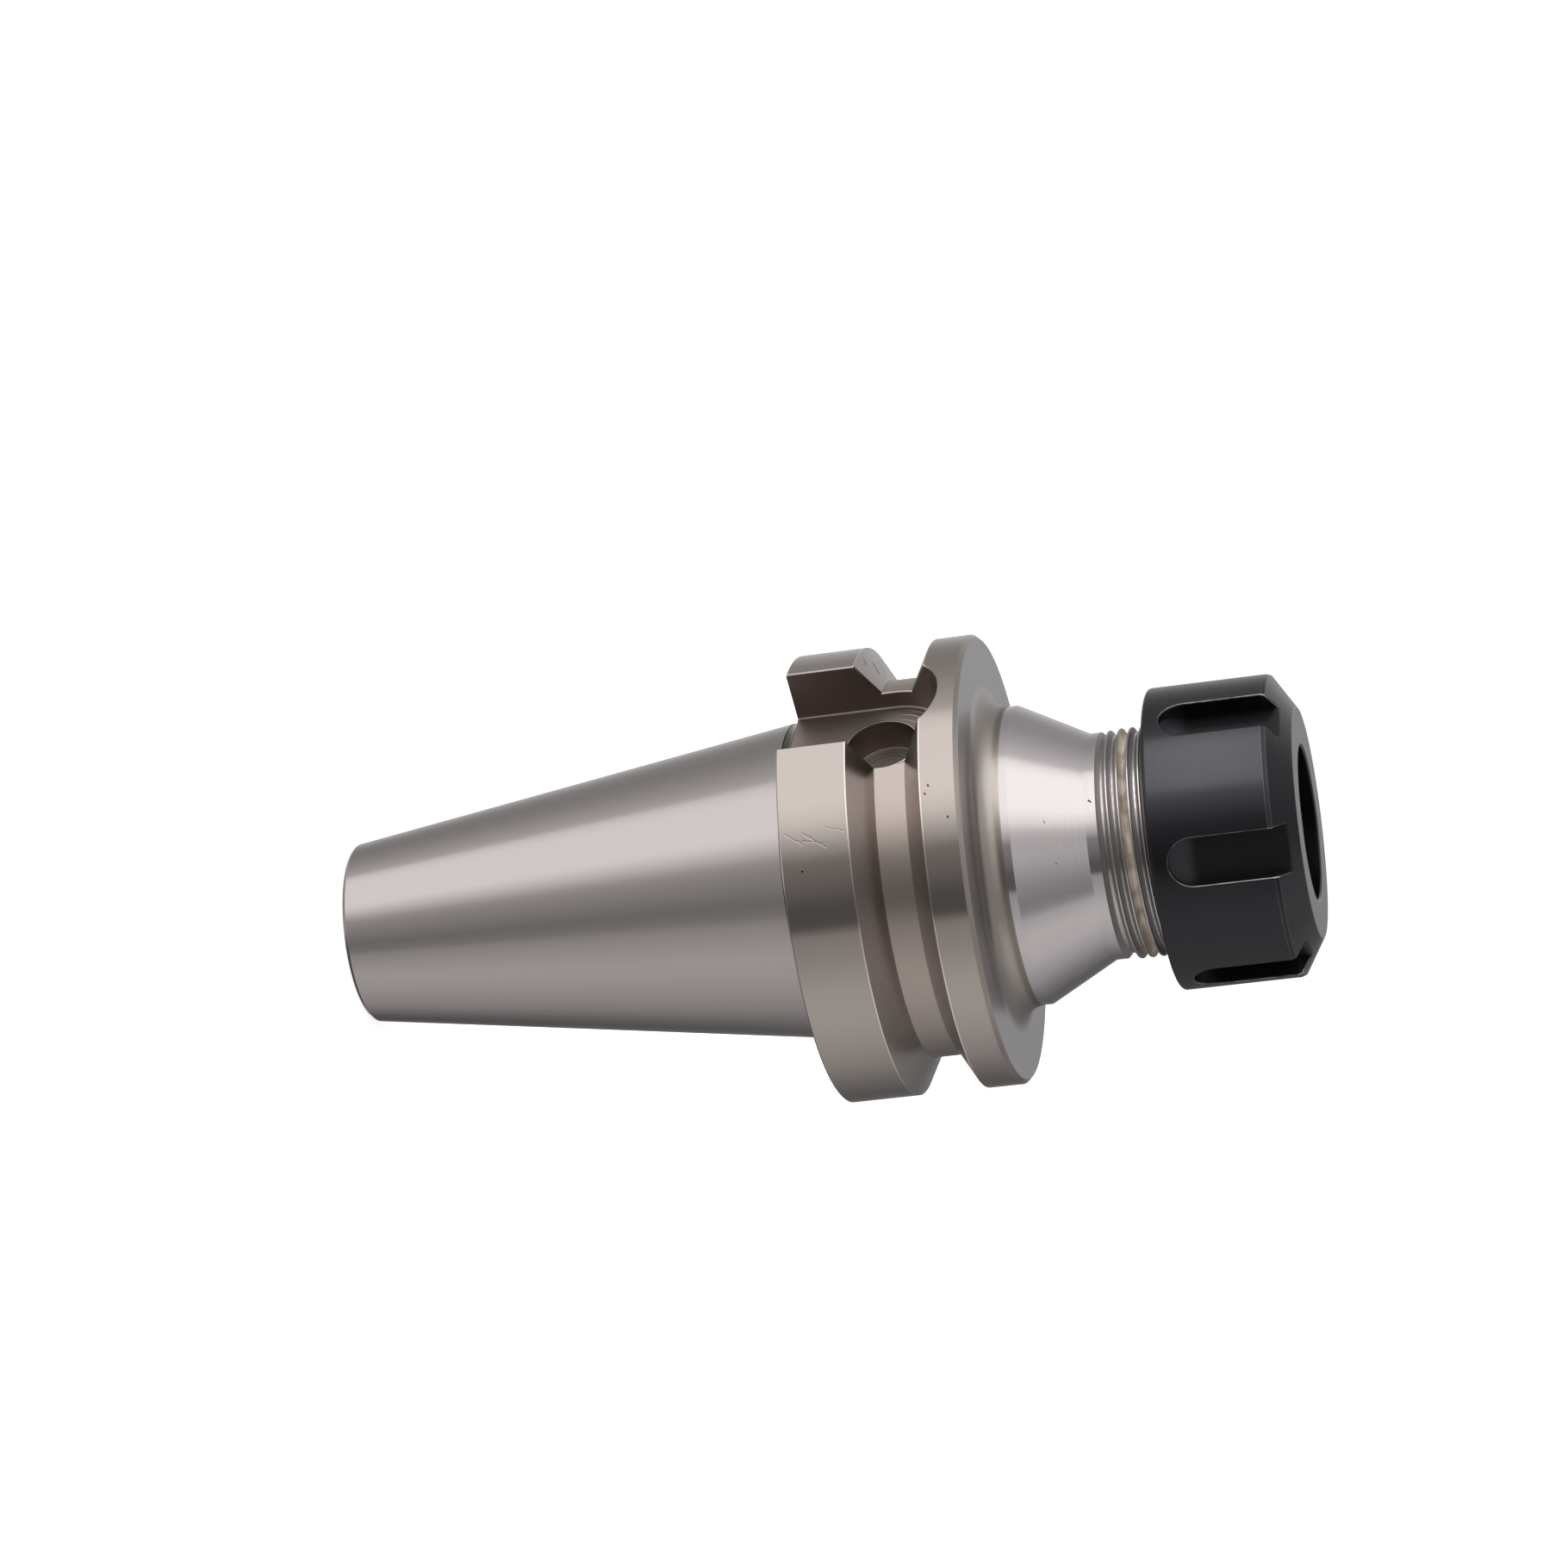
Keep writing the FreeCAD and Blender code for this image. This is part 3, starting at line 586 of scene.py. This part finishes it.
# %% [markdown]
# ## Grease in the thread
# The crests and the roots of the nose thread are bright lines, and its flanks stay dull from
# the cutting insert. One turn of the groove still holds old grease, beige where it is thick
# and darker where it has dried. Grease could be a mesh of its own, but the film is thinner
# than the thread is deep, so it is a part of the steel's material. The height less the
# angle round the axis counts the turns of the helix, and picks that one turn.

# %% Grease in the thread
CORE_RADIUS, CREST_RADIUS = 15.1, 16.0
PITCH, HELIX_AT_X = 1.5, 43.51
# The grease lies round one turn of the groove, in pitches below and above its middle, and
# from one share of that turn to another. A smear is 2.5 mm long.
GREASED_TURN, GREASE_BELOW, GREASE_ABOVE = 1.5, 0.40, 0.38
GREASE_START, GREASE_STOP = 0.08, 0.94
SMEAR_SIZE, BARE_BELOW, THICK_ABOVE = 2.5, 0.30, 0.50

on_thread_flank = both(tree, on_thread, between(
    tree, at["r"], CORE_RADIUS + 0.07, CREST_RADIUS - 0.05, 0.04))
turn_share = full_turns(tree, at["turn"])
thread_turn = add(tree, "Math", add(tree, "Math", add(
    tree, "Math", at["z"], HELIX_AT_X, operation="SUBTRACT"), PITCH, operation="DIVIDE"),
    turn_share, operation="SUBTRACT")
smear = add(tree, "TexNoise", Vector=at["point"], Scale=1 / SMEAR_SIZE, Detail=4.0)
greasy = both(
    tree, on_thread,
    between(tree, thread_turn, GREASED_TURN - GREASE_BELOW, GREASED_TURN + GREASE_ABOVE, 0.05),
    between(tree, turn_share, GREASE_START, GREASE_STOP, 0.04),
    past(tree, smear, BARE_BELOW, 0.05),
    outside(tree, past(tree, at["r"], CREST_RADIUS - 0.13, 0.06)))
grease = layered(tree, "RGBA", srgb("#AA9C8A"), [
    (past(tree, smear, THICK_ABOVE, 0.12), srgb("#D2C6B9"))])
print("the thread is", round(2 * CREST_RADIUS, 1), "mm wide with a pitch of", PITCH, "mm")

# %% [markdown]
# ## The finish of the holder
# Now the masks put the material together, as a painter works: a base for the whole piece, and
# layers over it, from the large faces to the small marks. Colour, roughness and height each
# have their own layers. The mesh could carry painted colours instead, but its long triangles
# have no corners where one finish ends and the next begins. Ground steel has a satin sheen, so
# its reflections stay long and soft. The hard-turned neck is smoother and nearly mirrors, and
# the milled slots scatter the light and look dull. Fine feed marks run round every turned
# face. They are finer than a pixel, so they are drawn 0.2 mm apart, as coarse as they need
# to be seen.

# %% Colour and roughness of the holder
TAPER_STEEL, GROUND_ROUGHNESS = srgb("#B8B1AF"), 0.14
# Painted light among these layers: the relief and the end of the fillet are painted shade, the
# broken rim edges and the cutter marks painted highlights.
HOLDER_COLOURS = (
    (on_flange, "#B9AFA9"), (relief_painted_shade, "#6A645F"), (in_groove, "#BAB2AE"),
    (painted_edge_highlights, "#E6DFDA"), (on_groove_floor, "#B6AAA3"), (on_face, "#BAB7B9"),
    (on_front_edge, "#B8AEA6"), (on_fillet, "#B2AAA4"), (fillet_end_painted_shade, "#8F877F"),
    (on_neck, "#D0C9CA"), (in_slot, "#80746F"), (on_slot_floor, "#A0958F"),
    (on_chip_floor, "#A0958F"), (cutter_arcs_and_edge_highlights, "#E2DAD2"), (on_thread, "#BDB9B9"),
    (on_thread_flank, "#B0ABA9"))
HOLDER_MARKS = ((nicks, "#5C5558"), (specks, "#241F1C"))
HOLDER_ROUGHNESS = (
    (in_groove, 0.24), (on_groove_floor, 0.30), (on_face, 0.33), (on_neck, 0.10),
    (on_thread, 0.16), (on_thread_flank, 0.45), (in_slot, 0.42),
    (largest(tree, greasy, specks), 0.60))

colour = layered(tree, "RGBA", TAPER_STEEL, [
    *((mask, srgb(code)) for mask, code in HOLDER_COLOURS), (greasy, grease),
    *((mask, srgb(code)) for mask, code in HOLDER_MARKS)])
roughness = layered(tree, "FLOAT", GROUND_ROUGHNESS, HOLDER_ROUGHNESS)
print(len(HOLDER_COLOURS) + len(HOLDER_MARKS) + 1, "layers of colour,",
      len(HOLDER_ROUGHNESS), "of roughness")

# %% Height and material of the holder
LINE_SPACING, LINE_HEIGHT = 0.2, 0.004
HOLDER_LINE_HEIGHTS = ((on_face, 0.006), (on_neck, 0.003), (in_slot, 0.0))
HOLDER_HEIGHTS = ((scratches, -0.014), (nicks, -0.015), (cutter_arcs_and_edge_highlights, 0.035))


def feed_marks(tree, at, spacing, line_height):
    """Height of fine lines round the axis: noise that changes along the profile only."""
    along = add(tree, "Math", at["z"], at["r"])
    return add(tree, "Math", add(
        tree, "TexNoise", noise_dimensions="1D", W=along, Scale=1 / spacing, Detail=3.0),
        line_height, operation="MULTIPLY")


def dress(name, material):
    """Gives a CAD solid one material."""
    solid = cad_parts[name]
    solid.data.materials.clear()
    solid.data.materials.append(material)
    print(name, "has", len(solid.data.polygons), "faces in", material.name)


height = feed_marks(tree, at, LINE_SPACING, layered(
    tree, "FLOAT", LINE_HEIGHT, HOLDER_LINE_HEIGHTS))
for mask, rise in HOLDER_HEIGHTS:
    height = add(tree, "Math", mask, rise, height, operation="MULTIPLY_ADD")
add(tree, "OutputMaterial", add(
    tree, "BsdfPrincipled", Base_Color=colour, Roughness=roughness,
    Metallic=outside(tree, greasy),
    Normal=add(tree, "Bump", Strength=1.0, Distance=MM, Height=height)))
dress("holder_body", steel)

# %% [markdown]
# ## Blackened steel
# The nut is blackened in a hot salt bath. The oxide is thin and nearly black, and it shows
# the room only faintly, more so where the eye looks along a face: a dark metal under a thin
# clear coat does that. Handling rubs it off the edges of the wrench slots, where the bright
# steel comes through. Worn edges could come from the curvature of the mesh, but that is known
# only at the corners of its triangles, and these are long. The slots are placed by the same
# sizes as in the solid instead: the six are folded into one, and the distance from its outline
# gives its inside and its edge.

# %% The wrench slots
WRENCH_COUNT, WRENCH_HALF, WRENCH_CENTRE, WRENCH_FLOOR = 6, 3.25, 55.75, 18.2
RUNOUT_TOP, WORN_WIDTH = 55.4, 0.17

oxide, tree = new_material("black_oxide_steel")
at = millimetres(tree)
part_turn = 2 * math.pi / WRENCH_COUNT
sixths = add(tree, "Math", at["turn"], part_turn, operation="DIVIDE")
folded = add(tree, "Math", part_turn, add(
    tree, "Math", sixths, add(tree, "Math", sixths, operation="ROUND"),
    operation="SUBTRACT"), operation="MULTIPLY")
across = add(tree, "Math", at["r"], add(
    tree, "Math", folded, operation="SINE"), operation="MULTIPLY")
short_of_centre = add(tree, "Math", add(
    tree, "Math", WRENCH_CENTRE, at["z"], operation="SUBTRACT"), 0.0, operation="MAXIMUM")
beside_slot = add(tree, "Math", distance(tree, across, short_of_centre), WRENCH_HALF,
                  operation="SUBTRACT")
in_wrench_slot = both(tree, outside(tree, past(tree, beside_slot, 0.03, EDGE)),
                      past(tree, at["r"], WRENCH_FLOOR - 0.2, 0.1))
# The run-out at the round end of each wrench slot gets a lighter colour: painted light on the
# ramp where it rises out of the slot.
runout_painted_light = both(tree, in_wrench_slot, outside(tree, past(tree, at["z"], RUNOUT_TOP, 1.2)))
slot_edge = both(tree, between(tree, beside_slot, EDGE, WORN_WIDTH, 0.03),
                 past(tree, at["r"], WRENCH_FLOOR + 0.2, 0.1))
print("a wrench slot is", 2 * WRENCH_HALF, "mm wide")

# %% Faces and worn edges of the nut
NUT_RADIUS, FRONT_RADIUS, BORE_RADIUS = 21.0, 16.0, 10.7
NUT_FRONT, BORE_START = 70.0, 60.0
BEVEL_START, TURNED_EDGES, TURNED_EDGE_HALF = 67.0, (66.42, 67.0), 0.05
# The worn patches lie 1.4 mm apart, which is 0.7 waves of noise to the millimetre. A share is
# how much of the bright steel shows through.
WEAR_SCALE, PATCH_ABOVE, LEAST_SHARE, PATCH_SHARE = 0.7, 0.44, 0.08, 0.28
CORNER_SHARE, TURNED_SHARE, FRONT_SHARE = 0.9, 0.13, 0.6

on_bevel = past(tree, at["z"], BEVEL_START - 0.03, 0.03)
on_front = past(tree, at["z"], NUT_FRONT - 0.04, EDGE)
in_bore = both(tree, past(tree, at["z"], BORE_START, 0.1),
               between(tree, at["r"], 0.0, BORE_RADIUS + EDGE))
slot_corner = both(tree, slot_edge, between(
    tree, at["z"], BEVEL_START - 0.7, BEVEL_START + 0.2, 0.1))
turned_edges = both(tree, past(tree, at["r"], NUT_RADIUS - 0.4, 0.1), largest(tree, *[
    between(tree, at["z"], edge - TURNED_EDGE_HALF, edge + TURNED_EDGE_HALF, 0.03)
    for edge in TURNED_EDGES]))
front_edges = both(tree, past(tree, at["z"], NUT_FRONT - 0.35, EDGE), largest(
    tree, between(tree, at["r"], FRONT_RADIUS - 0.08, FRONT_RADIUS + 0.10, 0.04),
    between(tree, at["r"], BORE_RADIUS + 0.2, BORE_RADIUS + 0.42, 0.05)))
patchy = past(tree, add(
    tree, "TexNoise", Vector=at["point"], Scale=WEAR_SCALE, Detail=4.0), PATCH_ABOVE, 0.14)
worn = largest(
    tree, both(tree, slot_edge, add(
        tree, "Math", patchy, PATCH_SHARE, LEAST_SHARE, operation="MULTIPLY_ADD")),
    *[both(tree, wear, share) for wear, share in (
        (slot_corner, CORNER_SHARE), (turned_edges, TURNED_SHARE), (front_edges, FRONT_SHARE))])
print("the front face is", 2 * FRONT_RADIUS, "mm wide, its opening", 2 * BORE_RADIUS)

# %% Material of the nut
OXIDE, OXIDE_ROUGHNESS, MILLED_ROUGHNESS = srgb("#2D2C30"), 0.33, 0.45
NUT_COLOURS = (
    (on_bevel, "#3D3B40"), (in_wrench_slot, "#29282B"), (runout_painted_light, "#424145"),
    (on_front, "#6E6B6F"), (in_bore, "#26221F"), (worn, "#B9B5B6"))
# The oil that closes the pores of the oxide is the clear coat.
OIL_WEIGHT, OIL_ROUGHNESS = 0.45, 0.20
# The feed marks of the nut are finer than a pixel too, and drawn 0.25 mm apart.
NUT_LINE_SPACING, NUT_LINE_HEIGHT, FRONT_LINE_HEIGHT = 0.25, 0.015, 0.010

height = feed_marks(tree, at, NUT_LINE_SPACING, layered(
    tree, "FLOAT", NUT_LINE_HEIGHT, [(on_front, FRONT_LINE_HEIGHT)]))
add(tree, "OutputMaterial", add(
    tree, "BsdfPrincipled", Metallic=1.0, Coat_Weight=OIL_WEIGHT, Coat_Roughness=OIL_ROUGHNESS,
    Base_Color=layered(tree, "RGBA", OXIDE, [(mask, srgb(code)) for mask, code in NUT_COLOURS]),
    Roughness=layered(tree, "FLOAT", OXIDE_ROUGHNESS, [(in_wrench_slot, MILLED_ROUGHNESS)]),
    Normal=add(tree, "Bump", Strength=1.0, Distance=MM, Height=height)))
dress("clamping_nut", oxide)

# %% [markdown]
# ## The pressure ring
# The ring inside the nut is ground all over and never blackened. It could take the holder's
# steel, but that material looks up places on the holder. The ring is seen only through the
# nut's opening, so one plain ground steel without marks is enough.

# %% The pressure ring
RING_ROUGHNESS = 0.3
ring_steel, tree = new_material("ground_ring_steel")
add(tree, "OutputMaterial", add(
    tree, "BsdfPrincipled", Base_Color=TAPER_STEEL, Metallic=1.0, Roughness=RING_ROUGHNESS))
dress("pressure_ring", ring_steel)

# %% [markdown]
# ## The nose thread
# The solid carries the thread's core as a plain cylinder. The thread itself is one ridge wound
# round it: a profile of a flat crest, two flanks at 60 degrees and a rounded root, carried
# along a right-hand helix that rises one pitch each turn. The Screw modifier could wind it,
# but a grid worked out from two numbers, the turn and the place on the profile, also lets the
# ridge sink back into the core at both ends, as the cutting insert leaves it.

# %% The wound ridge
HELIX_START, HELIX_END, STEPS_A_TURN, FADE = 43.7, 60.1, 144, 0.35
# The profile: shares of the pitch beside the ridge's middle, and shares of its height.
BESIDE_MIDDLE = np.array([-0.49, -0.49, -0.44, -0.38, -0.24, -0.09, -0.05,
                          0.05, 0.09, 0.24, 0.38, 0.44, 0.49, 0.49])
RISE = np.array([-0.30, -0.03, 0.0, 0.06, 0.50, 0.96, 1.0,
                 1.0, 0.96, 0.50, 0.06, 0.0, -0.03, -0.30])


def smooth(value):
    """0 at 0 and 1 at 1, flat at both ends: three times the square less twice the cube."""
    value = np.clip(value, 0.0, 1.0)
    return value * value * (3 - 2 * value)


def wound_ridge(low, high):
    """A grid of points: each profile point goes round by the turn and up by the pitch.

    The ridge's middle lies at the height HELIX_AT_X plus the pitch times the turns, and runs
    from low to high. A profile point lies beside that middle and rises from the core towards
    the crest by its share, less within FADE pitches of both ends, where it ends just under the
    core. The two lowest points stay where they are, and close the profile below the core.
    """
    turns = np.linspace((low - HELIX_AT_X) / PITCH, (high - HELIX_AT_X) / PITCH,
                        round((high - low) / PITCH * STEPS_A_TURN) + 1)[:, None]
    middle = HELIX_AT_X + PITCH * turns
    fade = smooth((middle - low) / (FADE * PITCH)) * smooth((high - middle) / (FADE * PITCH))
    faded = np.where(RISE > -0.1, RISE * fade - 0.05 * (1 - fade), RISE)
    radius = CORE_RADIUS + (CREST_RADIUS - CORE_RADIUS) * faded
    angle = 2 * math.pi * turns
    return np.stack([radius * np.cos(angle), radius * np.sin(angle),
                     middle + BESIDE_MIDDLE * PITCH], axis=-1)


ridge = wound_ridge(HELIX_START, HELIX_END) * MM
print("the ridge goes round", round((HELIX_END - HELIX_START) / PITCH, 1), "times")

# %% The thread as a piece
SHARP_CORNER = math.radians(50)


def tube_object(name, grid):
    """A closed mesh object: each row of the grid is a ring, and both ends get a lid."""
    rows, columns = grid.shape[:2]
    index = np.arange(rows * columns).reshape(rows, columns)
    beside = np.roll(index, -1, axis=1)
    quads = np.stack([index[:-1], index[1:], beside[1:], beside[:-1]], axis=-1).reshape(-1, 4)
    lids = [index[0].tolist(), index[-1, ::-1].tolist()]
    mesh = bpy.data.meshes.new(name)
    mesh.from_pydata(grid.reshape(-1, 3).tolist(), [], quads.tolist() + lids)
    mesh.polygons.foreach_set("use_smooth", np.ones(len(mesh.polygons), dtype=bool))
    mesh.set_sharp_from_angle(angle=SHARP_CORNER)
    tube = bpy.data.objects.new(name, mesh)
    bpy.context.scene.collection.objects.link(tube)
    return tube


thread = tube_object("nose_thread", ridge)
thread.data.materials.append(steel)
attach(thread, "holder")
print("nose_thread has", len(thread.data.polygons), "faces")
